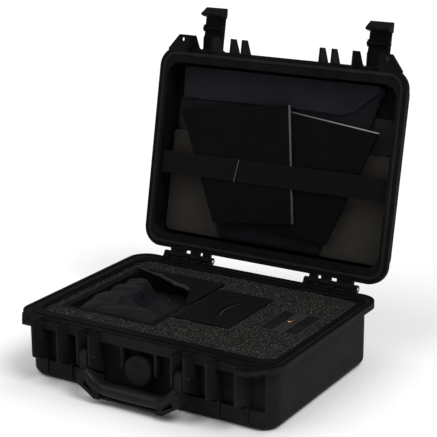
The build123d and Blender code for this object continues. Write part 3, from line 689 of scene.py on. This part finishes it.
def round_corner(x, y):
    """Moves points of a square corner of the foam onto its rounded corner."""
    centre_x = math.copysign(FOAM_SIDE - FOAM_CORNER, x)
    centre_y = FOAM_REAR - FOAM_CORNER if y > 0 else FOAM_FRONT + FOAM_CORNER
    u = (x - centre_x) / FOAM_CORNER * math.copysign(1, x)
    v = (y - centre_y) / FOAM_CORNER * math.copysign(1, y)
    if u <= 0 or v <= 0:
        return x, y
    return (centre_x + math.copysign(FOAM_CORNER * u * math.sqrt(1 - v * v / 2), x),
            centre_y + math.copysign(FOAM_CORNER * v * math.sqrt(1 - u * u / 2), y))


def groove(distance, width, depth):
    """A V-shaped groove's depth at a distance from its middle."""
    return depth * max(0.0, 1.0 - abs(distance) / width)


def make_foam():
    """Diced foam: knife cuts between cubes, ragged well edges and small height steps."""
    wells = (TRAY_WELL, MODULE_WELL, BATTERY_WELL)
    x_cuts = [CUT_X + CUBE * k for k in range(-11, 14)]
    y_cuts = [CUT_Y + CUBE * k for k in range(-4, 13)]

    def fixed(cuts, low, high):
        edges = [w[i] for w in wells for i in (low, high)]
        edges += [w[i] + s for w in wells for i, s in ((low, -WELL_ROUNDING), (high, WELL_ROUNDING))]
        return edges + [c + s for c in cuts for s in (-CUT_HALF_WIDTH, 0, CUT_HALF_WIDTH)]

    xs = lines(-FOAM_SIDE, FOAM_SIDE, 2.4, fixed(x_cuts, 0, 1))
    ys = lines(FOAM_FRONT, FOAM_REAR, 2.4, fixed(y_cuts, 2, 3))
    points, quads = grid_patch(xs, ys, lambda x, y: not any(in_box(x, y, w) for w in wells))

    def rim_distance(x, y):
        near = min(FOAM_SIDE - abs(x), y - FOAM_FRONT, FOAM_REAR - y)
        for w in wells:
            dx = max(w[0] - x, x - w[1])
            dy = max(w[2] - y, y - w[3])
            near = min(near, max(dx, dy))
        return near

    def top(x, y):
        column, row = math.floor((x - CUT_X) / CUBE), math.floor((y - CUT_Y) / CUBE)
        cube = noise.cell(Vector((column + 0.5, row + 0.5, 3.5)))
        height = FOAM_TOP + 0.5 * (cube - 0.5)
        height += 0.45 * soft_noise(x, y, 3.2, 1.0, 2) + 0.5 * soft_noise(x, y, 38, 5.0)
        for cuts, value in ((x_cuts, x), (y_cuts, y)):
            nearest = min(cuts, key=lambda c: abs(c - value))
            deep = FULL_CUT if nearest == CUT_Y and x > -20 else SHALLOW_CUT
            height -= groove(value - nearest, CUT_HALF_WIDTH, deep)
        return height - drop(rim_distance(x, y) + 0.2, 1.5)

    def wall(x, y, z):
        return x + 0.35 * soft_noise(y, z, 4.0, 7.0, 2), y + 0.35 * soft_noise(x, z, 4.0, 9.0, 2), z

    verts, faces = solid_patch(points, quads, top, lambda x, y: FOAM_LOW, 10, wall)
    verts = [(*round_corner(x, y), z) for x, y, z in verts]
    foam = piece("foam_block", verts, faces, BASE, "base", "foam_grey", ("base_foam",), 60)


def make_floor_pad():
    """Plain foam sheet under the diced block."""
    low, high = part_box("foam_floor_pad")
    outline = rounded(rectangle(low.x / MM, high.x / MM, low.y / MM, high.y / MM), 18.0)
    near = inside_distance(outline)
    points, faces = cut_patch(outline, 9.0)

    def top(x, y):
        return high.z / MM - drop(near(x, y), 1.5) - 0.3 * abs(soft_noise(x, y, 14, 2))

    verts, faces = solid_patch(points, faces, top, lambda x, y: low.z / MM, 3)
    pad = piece("foam_sheet_base", verts, faces, BASE, "base", "foam_grey", ("foam_floor_pad",))


def make_tray():
    """Padded fabric tray: rounded wall tops, a piped edge and slightly wavy sides."""
    x_low, x_high, y_low, y_high = TRAY_WELL
    wall_profile = [(0.0, FOAM_LOW + 0.2), (0.0, 40.0), (0.0, 60.0), (0.0, 80.0), (0.0, 92.0), (0.2, 95.5),
                    (1.3, 98.0), (3.2, 99.2), (5.6, 99.5), (8.0, 99.1), (9.9, 97.8), (10.9, 95.5),
                    (11.3, 91.0), (11.4, 80.0), (11.4, 60.0), (11.4, 40.0), (12.5, 24.0), (14.0, 22.5),
                    (30.0, 22.3), (55.0, 22.3)]
    rings = []
    for inset, z in wall_profile:
        push = WELL_GAP + inset
        ring = box_ring(x_low + push, x_high - push, y_low + push, y_high - push,
                        max(4.2 - 0.1 * inset, 2.5), z)
        wave = 0.0 if inset == 0.0 else 0.5
        rings.append([(x + wave * soft_noise(y, z, 26, 3), y + wave * soft_noise(x, z, 26, 6),
                       z - 0.9 * abs(soft_noise(x, y, 30, 8)) * (z > 95)) for x, y, z in ring])
    verts, faces = ring_loft(rings)
    tray = piece("tray_shell", verts, faces, BASE, "base", "tray_nylon", ("tray",), 60)
    piping("tray_piping", box_ring(x_low + 11.2, x_high - 11.2, y_low + 11.2, y_high - 11.2, 3.0, 98.2), 1.25,
           BASE, "base", "tray_nylon")


def piping(name, path, radius, matrix, body, slot, material=None, closed=True):
    """A round bead along a path of points; radius may be one number or one per point."""
    count, sides = len(path), 8
    radii = radius if isinstance(radius, list) else [radius] * count
    verts, faces = [], []
    for i, p in enumerate(path):
        before = Vector(path[i - 1]) if closed or i else Vector(p)
        after = Vector(path[(i + 1) % count]) if closed or i < count - 1 else Vector(p)
        along = (after - before).normalized()
        up = Vector((0.0, 0.0, 1.0))
        side = along.cross(up).normalized()
        lift = side.cross(along).normalized()
        for k in range(sides):
            angle = 2 * math.pi * k / sides
            verts.append(tuple(Vector(p) + radii[i] * (side * math.cos(angle) + lift * math.sin(angle))))
    for i in range(count if closed else count - 1):
        j = (i + 1) % count
        for k in range(sides):
            n = (k + 1) % sides
            faces.append((i * sides + k, i * sides + n, j * sides + n, j * sides + k))
    if not closed:
        faces.append(tuple(range(sides)))
        faces.append(tuple(reversed(range((count - 1) * sides, count * sides))))
    return piece(name, verts, faces, matrix, body, slot, material=material)


def ridge(x, y, points, width, height):
    """Height of a smooth ridge along a polyline at (x, y)."""
    p = Vector((x, y))
    near = min(segment_distance(p, Vector(a), Vector(b)) for a, b in zip(points, points[1:]))
    return height * math.exp(-(near / width) ** 2)


def bump_at(x, y, cx, cy, rx, ry, height):
    return height * math.exp(-(((x - cx) / rx) ** 2 + ((y - cy) / ry) ** 2))


POUCH = (-188.5, -35.5, -88.5, 104.5)
POUCH_FLOOR = 23.0
PULL = (-64.0, 9.0)
# outline of the part that stands high; then the folds, each a path, a half width and a height
POUCH_HIGH = [(-187, -84), (-110, -86), (-37, -87), (-34, -54), (-50, -41), (-64, -33), (-92, -25), (-111, -17),
              (-125, -5), (-121, 26), (-134, 56), (-151, 84), (-170, 92), (-186, 80)]
POUCH_FOLDS = [
    ([(-130, -40), (-137, -26), (-134, -12), (-122, -8), (-110, -18), (-92, -26), (-63, -34), (-48, -43)],
     3.2, 6.5),
    ([(-122, -30), (-112, -34), (-96, -37)], 4.5, -5.0),
    ([(-118, -2), (-104, -12), (-90, -16), (-70, -26)], 3.5, -4.0),
    ([(-176, 20), (-152, 15), (-126, 24)], 3.6, 4.0),
    ([(-178, 44), (-150, 40), (-128, 50)], 4.0, -4.5),
    ([(-176, 62), (-158, 66), (-142, 60)], 3.6, 3.6),
    ([(-150, -84), (-140, -62), (-118, -52)], 4.2, -3.0),
    ([(-84, -84), (-80, -66), (-66, -54)], 3.6, -2.4),
    ([(-116, 0), (-98, 8), (-76, -4), (-58, -16)], 4.0, 5.0),
    ([(-110, 30), (-90, 38), (-70, 34)], 5.0, 4.0),
]


def smooth_step(t):
    t = max(0.0, min(1.0, t))
    return t * t * (3.0 - 2.0 * t)


def segment_distance(p, a, b):
    t = max(0.0, min(1.0, (p - a).dot(b - a) / (b - a).length_squared))
    return (p - a.lerp(b, t)).length


def side_distance(x, y, outline):
    """Distance to an outline, positive inside it."""
    p = Vector((x, y))
    near = min(segment_distance(p, Vector(a), Vector(b)) for a, b in zip(outline, outline[1:] + outline[:1]))
    return near if inside_polygon(x, y, outline) else -near


def pouch_height(x, y):
    """Crumpled top of the pouch: a high lobe in front and at the left, and a deep hollow behind."""
    lobe = smooth_step(0.5 + side_distance(x, y, POUCH_HIGH) / 16.0)
    z = 71.0 + 25.0 * lobe
    z += bump_at(x, y, -166, -30, 22, 28, 4.0)
    z += bump_at(x, y, -148, 32, 15, 24, 4.5)
    z += bump_at(x, y, -94, -60, 50, 14, 5.0)
    z -= ridge(x, y, [(-188, 8), (-170, 4), (-152, 8)], 6.0, 4.0)
    z -= bump_at(x, y, -120, -44, 22, 7, 4.0)
    for path, width, height in POUCH_FOLDS:
        z += ridge(x, y, path, width, height)
    z -= bump_at(x, y, PULL[0], PULL[1], 12, 12, 5.0)
    return z + 1.8 * soft_noise(x, y, 20, 4, 4)


def make_pouch():
    """Soft nylon pouch: a crumpled closed form that fills the tray, creased by a short cloth run."""
    x_low, x_high, y_low, y_high = POUCH
    outline = rounded(rectangle(*POUCH), 12.0, 5)
    near = inside_distance(outline)
    points, faces = cut_patch(outline, 3.2)
    verts, faces = solid_patch(points, faces, lambda x, y: pouch_height(x, y) - 1.5 * drop(near(x, y), 9.0),
                               lambda x, y: POUCH_FLOOR + drop(near(x, y), 6.0), 14)
    pouch = piece("pouch_cloth", verts, faces, BASE, "base", "pouch_fabric", ("airframe_pouch",))
    remesh(pouch, 2.8)
    settle(pouch, 0.9, 3.5, -0.07, lambda co: co.z < 0.05)
    for v in pouch.data.vertices:
        v.co.x = min(max(v.co.x, x_low * MM), x_high * MM)
        v.co.y = min(max(v.co.y, y_low * MM), y_high * MM)
        v.co.z = max(v.co.z, (POUCH_FLOOR - 0.5) * MM)
    subdivide(pouch)


FLAP_EDGE = [(-199, 114), (-176, 104), (-152, 96), (-134, 90), (-120, 84), (-104, 77), (-90, 69),
             (-72, 65), (-55, 55), (-45, 34)]


def make_tray_flap():
    """Stiff rear flap whose front edge rolls up into an uneven hem."""
    outline = [(-200.0, 116.5), *FLAP_EDGE, (-36.0, 14.0), (-24.0, 2.0), (-24.0, 116.5)]
    xs = lines(-201.0, -23.0, 2.5)
    ys = lines(1.0, 117.0, 2.5)
    points, quads = grid_patch(xs, ys, lambda x, y: inside_polygon(x, y, outline))
    points = [snap_to(x, y, outline, 1.8) for x, y in points]

    def top(x, y):
        sag = bump_at(x, y, -40, 40, 12, 14, 1.6)
        return 102.4 + ridge(x, y, FLAP_EDGE[2:-1], 4.5, 1.6) + 0.6 * soft_noise(x, y, 32, 2) - sag

    verts, faces = solid_patch(points, quads, top, lambda x, y: top(x, y) - 1.5, 2)
    flap = piece("tray_cover_flap", verts, faces, BASE, "base", "tray_nylon", ("tray_flap",), 60)
    path = smooth_path([(x + 3.0 * soft_noise(x, y, 17, 3), y + 3.0 * soft_noise(x, y, 17, 6),
                         103.6 + 1.4 * soft_noise(x, y, 15, 9)) for x, y in FLAP_EDGE[:-1]], 6)
    radii = [min(3.6, 0.8 + 0.16 * i) * (1.0 + 0.42 * soft_noise(x, y, 11, 4))
             for i, (x, y, z) in enumerate(path)]
    # the hem takes the lighter copy of the tray's nylon: a painted highlight on the curled edge
    hem = piping("tray_flap_hem", path, radii, BASE, "base", "tray_nylon", "hem_fabric_lit", False)
    subdivide(hem)


def inside_polygon(x, y, outline):
    inside = False
    for (xa, ya), (xb, yb) in zip(outline, outline[1:] + outline[:1]):
        if (ya > y) != (yb > y) and x < (xb - xa) * (y - ya) / (yb - ya) + xa:
            inside = not inside
    return inside


def snap_to(x, y, outline, reach):
    """Moves a point near an outline onto it."""
    p = Vector((x, y))
    best, place = reach, p
    for a, b in zip(outline, outline[1:] + outline[:1]):
        a, b = Vector(a), Vector(b)
        if (b - a).length < 1e-6:
            continue
        t = max(0.0, min(1.0, (p - a).dot(b - a) / (b - a).length_squared))
        on = a.lerp(b, t)
        if (p - on).length < best:
            best, place = (p - on).length, on
    return place.x, place.y


def make_liner():
    """Pale foam liner with two slots for the battery packs."""
    x_low, x_high, y_low, y_high = BATTERY_WELL
    slots = []
    for node in ("battery_left", "battery_right"):
        low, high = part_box(node)
        slots.append((low.x / MM - 0.2, high.x / MM + 0.2, low.y / MM - 0.2, high.y / MM + 0.2))
    xs = lines(x_low + WELL_GAP, x_high - WELL_GAP, 1.6, [s[i] for s in slots for i in (0, 1)])
    ys = lines(y_low + WELL_GAP, y_high - WELL_GAP, 2.2, [s[i] for s in slots for i in (2, 3)])
    points, quads = grid_patch(xs, ys, lambda x, y: not any(in_box(x, y, s) for s in slots))
    verts, faces = solid_patch(points, quads, lambda x, y: 99.5 + 0.35 * soft_noise(x, y, 5, 3, 2),
                               lambda x, y: FOAM_LOW + 0.2, 6)
    liner = piece("battery_liner", verts, faces, BASE, "base", "liner_pale", ("battery_divider",), 60)


# ---------------------------------------------------------------- lid contents
LID_FOAM_LOW, LID_FOAM_HIGH = -45.8, -35.3
BOARD_LOW, BOARD_HIGH = -35.0, -32.0
BAG_LOW, BAG_HIGH = -31.8, -25.3
FLAP_LOW = -25.0


def lid_slab(name, outline, radius, low, high, step, slot, node, relief, edge=1.2, rows=2,
             material=None):
    """A soft or stiff sheet in the lid, with rounded edges and relief on its packed side."""
    shape = rounded(outline, radius)
    near = inside_distance(shape)
    points, faces = cut_patch(shape, step)
    thickness = high - low

    def top(x, d):
        return high - drop(near(x, d), min(edge, thickness * 0.5)) + relief(x, d, near(x, d))

    def bottom(x, d):
        return low + drop(near(x, d), min(edge, thickness * 0.5)) * 0.6

    verts, faces = solid_patch(points, faces, top, bottom, rows)
    obj = piece(name, verts, faces, LID, "lid", slot, (node,), 55, material)
    return obj


def make_boards():
    """Two stiff fibre boards behind the bag."""
    for place, slot, side, low, high, seed in (("lower", "board_khaki", 213, 27, 207, 3),
                                               ("upper", "board_grey", 206, 207.6, 268, 4)):
        lid_slab("board_sheet_" + place, rectangle(-side, side, low, high), 8.0, BOARD_LOW, BOARD_HIGH, 6.0,
                 slot, "board_" + place,
                 lambda x, d, s, seed=seed: -0.35 * abs(soft_noise(x, d, 45, seed)), 0.9)


def make_lid_foam():
    """Foam sheet behind the boards."""
    lid_slab("foam_sheet_lid", rectangle(-205, 205, 25, 325), 16.0, LID_FOAM_LOW, LID_FOAM_HIGH, 8.0,
             "foam_grey", "lid_foam", lambda x, d, s: -0.3 * abs(soft_noise(x, d, 12, 3)), 1.5, 3,
             "airframe_foam")


def bag_relief(x, d, s):
    """Gentle slack across the bag, tight at its edges."""
    slack = min(1.0, s / 40.0)
    return -1.2 + slack * (0.9 * soft_noise(x, d * 1.6, 70, 2) + 0.35 * soft_noise(x * 0.6, d, 22, 5))


def make_bag():
    """Flat tapering fabric bag, puffed a little by a short cloth run."""
    bag = lid_slab("bag_cloth", [(-102, 27), (98, 27), (190, 322), (-201, 322)], 6.0, BAG_LOW, BAG_HIGH, 5.0,
                   "pouch_fabric", "fabric_bag", bag_relief, 3.0, material="bag_fabric")
    remesh(bag, 4.0)
    settle(bag, 0.8, 1.3, -0.02)
    subdivide(bag)


def make_bag_flap():
    """Flap folded down over the bag's mouth, with a soft curved lower edge."""
    edge = [(-195, 267), (-150, 264.5), (-90, 266), (-20, 267.5), (60, 267), (112, 266.5), (133, 272),
            (150, 285), (188, 320), (-197, 320)]
    shape = rounded(edge, [4, 30, 60, 60, 60, 18, 14, 30, 5, 5], 3)

    def relief(x, d):
        hang = max(0.0, (300.0 - d) / 34.0)
        waves = 0.55 * soft_noise(x, d * 0.5, 46, 7) + 0.35 * math.sin(x / 21.0 + 0.04 * d)
        tuck = 1.1 * math.exp(-((x * 0.35 + d - 326.0) / 5.0) ** 2) * smooth_step((x - 60.0) / 50.0)
        return 0.4 + hang * waves * 1.1 + 0.5 * soft_noise(x, d * 1.6, 19, 6) - tuck

    xs = lines(-198.0, 189.0, 4.0)
    ys = lines(263.0, 321.0, 3.0)
    points, quads = grid_patch(xs, ys, lambda x, d: inside_polygon(x, d, shape))
    points = [snap_to(x, d, shape, 3.0) for x, d in points]

    def top(x, d):
        return FLAP_LOW + 1.7 + relief(x, d)

    def bottom(x, d):
        return FLAP_LOW + 0.25 + 0.6 * max(0.0, relief(x, d))

    verts, faces = solid_patch(points, quads, top, bottom, 2)
    flap = piece("flap_cloth", verts, faces, LID, "lid", "pouch_fabric", ("bag_flap",), 60,
                 "flap_fabric")
    subdivide(flap)


STRAP_D = 152.0
STRAP_TILT = math.radians(0.8)
STRAP_WIDTH = 38.5
STRAP_HALF = 215.6
FOLD_END = -66.0
KEEPER_SLANT = 0.17
WEBBING = (-9.4, -8.15)              # heights of the strap's two layers
DOUBLE = (-7.9, -6.7)


def strap_point(x, v, h):
    """A point of the strap from its run along the lid, its offset across and its height."""
    return (x * math.cos(STRAP_TILT) - v * math.sin(STRAP_TILT),
            STRAP_D + x * math.sin(STRAP_TILT) + v * math.cos(STRAP_TILT), h)


def make_strap_layer(name, x_low, x_high, heights, node):
    """A length of webbing: ribbed weave, thin bound edges and a little bow over what it holds."""
    half = STRAP_WIDTH / 2
    low, high = heights
    xs = lines(x_low, x_high, 3.0)
    vs = [-half, -half + 0.5, -half + 1.6, -half + 2.2]
    vs += [(-half + 4) + (2 * half - 8) * k / 12 for k in range(13)]
    vs += [half - 2.2, half - 1.6, half - 0.5, half]
    points, quads = grid_patch(xs, vs, lambda x, v: True)

    def top(x, v):
        near = half - abs(v)
        bead = 0.22 * math.exp(-((near - 1.3) / 0.7) ** 2)
        rib = 0.16 * math.sin(x / 1.1) * (near > 2.0)
        return high - drop(near, 0.45) + bead + rib + 0.25 * soft_noise(x, v, 40, 3)

    verts, faces = solid_patch(points, quads, top, lambda x, v: low + drop(half - abs(v), 0.4) * 0.5, 1)
    slant = KEEPER_SLANT if x_high == FOLD_END else 0.0
    verts = [strap_point(x + slant * v * smooth_step((x - x_high) / 30.0 + 1.0), v, h) for x, v, h in verts]
    strap = piece(name, verts, faces, LID, "lid", "strap_elastic", (node,), 60)


def make_strap():
    """Elastic strap in two layers on the left and one on the right, with a pale keeper."""
    make_strap_layer("strap_webbing", -STRAP_HALF, STRAP_HALF, WEBBING, "elastic_strap")
    make_strap_layer("strap_double", -STRAP_HALF, FOLD_END, DOUBLE, "strap_fold")
    half = STRAP_WIDTH / 2
    across = [half * (k / 12 - 1) for k in range(25)]
    path = [strap_point(FOLD_END + 1.2 + KEEPER_SLANT * v, v, -7.2) for v in across]
    keeper = piping("strap_pale_bar", path, 0.9, LID, "lid", "strap_elastic", "keeper_pale", False)
    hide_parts("strap_keeper")


# ---------------------------------------------------------------- handle
def make_grip():
    """Rubber grip: a fat bar whose ends sweep up and thin out into the arms."""
    low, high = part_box("handle_grip")
    y, z = (low.y + high.y) / 2 / MM, (low.z + high.z) / 2 / MM
    radius = (high.z - low.z) / 2 / MM
    # x, z above the bar's middle, half width in the handle's plane, half depth across it
    half_path = [(0.0, 0.0, 0.0, 0.0), (16.0, 0.0, 0.0, 0.0), (32.0, 0.0, -0.2, -0.1),
                 (44.0, 0.3, -0.4, -0.1), (53.0, 1.6, -0.4, 0.0), (60.5, 4.2, -0.7, 0.1),
                 (67.0, 8.2, -1.3, 0.1), (72.3, 13.2, -2.2, 0.0), (76.4, 18.6, -3.2, -0.4),
                 (79.6, 24.0, -4.2, -1.0), (81.6, 28.0, -5.2, -1.8)]
    right = smooth_path(half_path, 4)
    path = [(-p[0], *p[1:]) for p in reversed(right[1:])] + right
    count = 32
    rings = []
    for i, (x, up, wide, deep) in enumerate(path):
        before, after = path[max(i - 1, 0)], path[min(i + 1, len(path) - 1)]
        along = Vector((after[0] - before[0], after[1] - before[1])).normalized()
        across = Vector((-along.y, along.x))
        end = drop(len(path) - 1 - i, 3.0) + drop(i, 3.0)
        ring = []
        for k in range(count):
            angle = 2 * math.pi * k / count
            w = (radius + wide - end) * math.sin(angle)
            d = (radius + deep - end) * math.cos(angle)
            ring.append((x + across.x * w, y + d, z + up + across.y * w))
        rings.append(ring)
    verts, faces = ring_loft(rings)
    grip = piece("grip_sleeve", verts, faces, BASE, "handle", "handle_rubber", ("handle_grip",), 60)


def smooth_path(points, parts):
    """Catmull-Rom points through a list of equally long tuples."""
    out = []
    for i in range(len(points) - 1):
        p0, p1, p2, p3 = (points[max(i - 1, 0)], points[i], points[i + 1], points[min(i + 2, len(points) - 1)])
        for k in range(parts):
            t = k / parts
            out.append(tuple(
                0.5 * (2 * b + (c - a) * t + (2 * a - 5 * b + 4 * c - d) * t * t
                       + (3 * b - a - 3 * c + d) * t ** 3)
                for a, b, c, d in zip(p0, p1, p2, p3)))
    return out + [points[-1]]


# ---------------------------------------------------------------- carried CAD nodes
NODE_MATERIALS = {
    "case_plastic": ("base_shell", "valve_seat", "valve_knob", "handle_frame"),
    "lid_plastic_shaded": ("lid_shell", "latch_left_lever", "latch_right_lever", "latch_left_bar", "latch_right_bar",
                    "strap_anchors"),
    "seal_rubber": ("lid_seal", "valve_seal"),
    "pin_steel": ("hinge_pin_left", "hinge_pin_right", "handle_pin_left", "handle_pin_right", "zip_pull",
                  "module_catch", "latch_left_pin", "latch_right_pin"),
    "dark_steel": ("module_screws", "strap_screws"),
    "module_plastic": ("module_case", "module_cover"),
    "battery_wrap": ("battery_left", "battery_right"),
    "connector_gold": ("battery_connector",),
    "airframe_foam": ("fuselage_pod",),
    "wing_skin": ("wing_left", "wing_right"),
    "wing_edge_left": ("wing_left_root",),
    "wing_edge_right": ("wing_right_root",),
    "spar_carbon": ("wing_left_spar", "wing_right_spar"),
}
BEVELS = {
    "base_shell": 0.7, "lid_shell": 0.7, "lid_seal": 1.0, "handle_frame": 1.2, "valve_knob": 0.4,
    "latch_left_lever": 0.6, "latch_right_lever": 0.6, "strap_anchors": 0.5,
    "module_case": 0.8, "module_cover": 0.5, "battery_left": 0.4, "battery_right": 0.4,
    "wing_left": 1.2, "wing_right": 1.2, "wing_left_root": 0.5, "wing_right_root": 0.5,
}


def dress_nodes():
    """Materials and small edge radii on the CAD nodes that stay."""
    for slot, names in NODE_MATERIALS.items():
        for name in names:
            paint(frame["nodes"][name], MATERIALS[slot])
    for name, width in BEVELS.items():
        obj = frame["nodes"][name]
        weld = obj.modifiers.new("weld", "WELD")
        weld.merge_threshold = 1e-5
        bevel = obj.modifiers.new("edge", "BEVEL")
        bevel.width = width * MM
        bevel.segments = 2
        bevel.limit_method = "ANGLE"
        bevel.angle_limit = math.radians(38)
        bevel.use_clamp_overlap = True
        bevel.harden_normals = False


MATERIALS = make_materials()
make_camera()
make_studio()
make_foam()
make_floor_pad()
make_tray()
make_pouch()
make_tray_flap()
make_liner()
make_boards()
make_lid_foam()
make_bag()
make_bag_flap()
make_strap()
make_grip()
dress_nodes()
